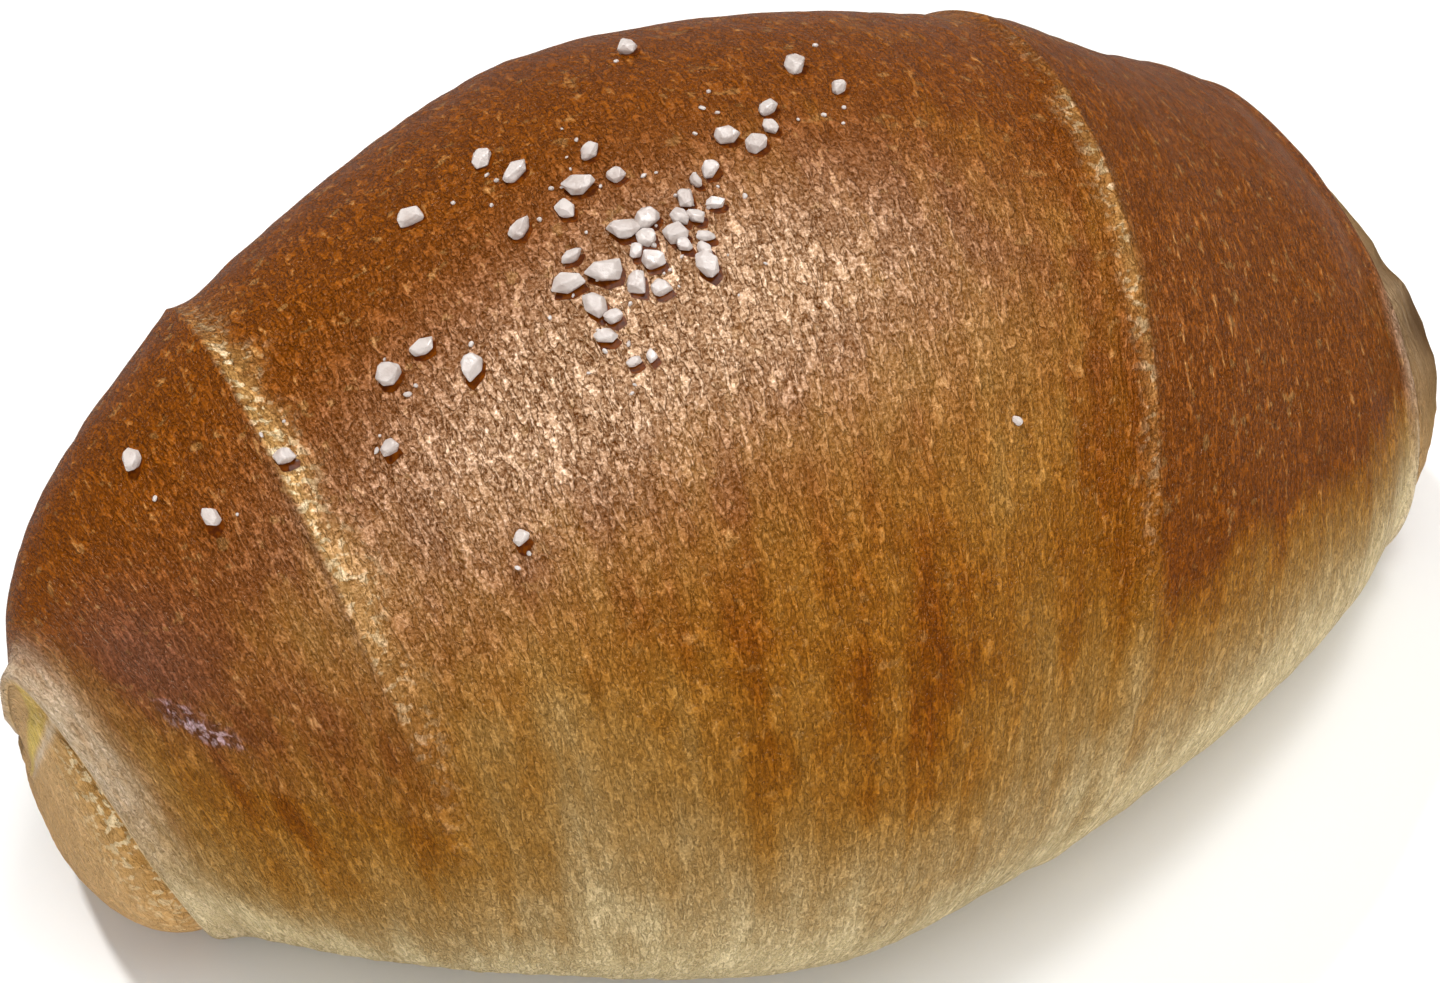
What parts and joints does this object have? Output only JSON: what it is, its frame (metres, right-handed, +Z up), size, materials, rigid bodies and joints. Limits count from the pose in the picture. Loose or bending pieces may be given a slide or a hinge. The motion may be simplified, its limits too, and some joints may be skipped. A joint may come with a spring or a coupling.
{
  "type": "salt bread roll",
  "caption": "Rolled bread with a fat middle lobe, a lobe at each side, pale dough showing at both ends and coarse salt on the crown.",
  "frame": {"origin": "centre of the bounding box in X and Y, at the level of the flat underside", "axes": "+X along the roll, with the end that is nearer the viewer at -X; +Y to the back; +Z up"},
  "size_m": [0.1186, 0.0794, 0.0592],
  "materials": {
    "crust": "semi-gloss baked crust"
  },
  "bodies": {
    "root": {"salt_bread_roll": "crust"}
  },
  "joints": []
}
